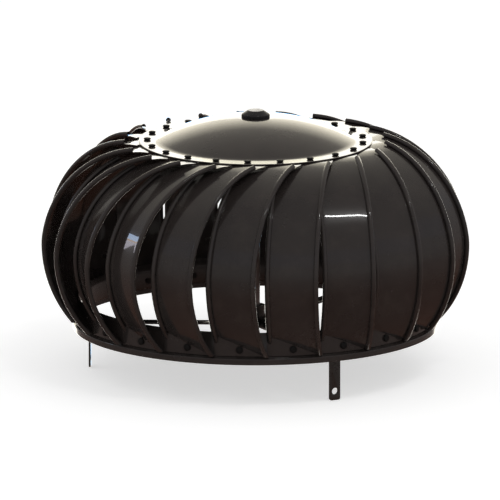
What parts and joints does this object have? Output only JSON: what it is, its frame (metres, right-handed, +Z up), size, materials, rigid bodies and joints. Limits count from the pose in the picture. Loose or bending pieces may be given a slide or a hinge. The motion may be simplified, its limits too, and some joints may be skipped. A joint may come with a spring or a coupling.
{
  "type": "roof turbine ventilator",
  "caption": "Wind-driven roof ventilator: curved sheet vanes between a domed crown and a base ring spin on a fixed centre shaft carried by three bolt-on strap legs",
  "frame": {"origin": "on the spin axis, at the level of the three feet", "axes": "+Z up along the spin axis; +X to the right and +Y to the back, seen from the pictured front"},
  "size_m": [0.3906, 0.3898, 0.2405],
  "materials": {
    "black_rivet": "satin black",
    "black_cap": "gloss black",
    "zinc_steel": "zinc plated",
    "bush_bronze": "sintered bronze",
    "brace_paint": "gloss dark bronze paint on steel",
    "sheet_aluminium": "aluminium sheet, gloss dark bronze paint"
  },
  "bodies": {
    "brace": {"leg_1": "brace_paint", "leg_2": "brace_paint", "leg_3": "brace_paint", "hub": "brace_paint", "hub_rivets": "black_rivet", "hub_pin": "zinc_steel", "shaft": "zinc_steel", "shaft_collar": "zinc_steel", "collar_screw": "zinc_steel", "thrust_washer": "zinc_steel", "retaining_clip": "zinc_steel"},
    "turbine": {"vane_01": "sheet_aluminium", "vane_02": "sheet_aluminium", "vane_03": "sheet_aluminium", "vane_04": "sheet_aluminium", "vane_05": "sheet_aluminium", "vane_06": "sheet_aluminium", "vane_07": "sheet_aluminium", "vane_08": "sheet_aluminium", "vane_09": "sheet_aluminium", "vane_10": "sheet_aluminium", "vane_11": "sheet_aluminium", "vane_12": "sheet_aluminium", "vane_13": "sheet_aluminium", "vane_14": "sheet_aluminium", "vane_15": "sheet_aluminium", "vane_16": "sheet_aluminium", "vane_17": "sheet_aluminium", "vane_18": "sheet_aluminium", "vane_19": "sheet_aluminium", "vane_20": "sheet_aluminium", "vane_21": "sheet_aluminium", "crown": "sheet_aluminium", "base_ring": "sheet_aluminium", "crown_rivets": "black_rivet", "ring_rivets": "black_rivet", "bearing_housing": "zinc_steel", "cap": "black_cap", "upper_bush": "bush_bronze", "lower_bush": "bush_bronze"}
  },
  "joints": [
    {"name": "turbine_spin", "type": "hinge", "parent": "brace", "child": "turbine", "pos_m": [0, 0, 0.12], "axis": [0, 0, 1], "continuous": true}
  ]
}
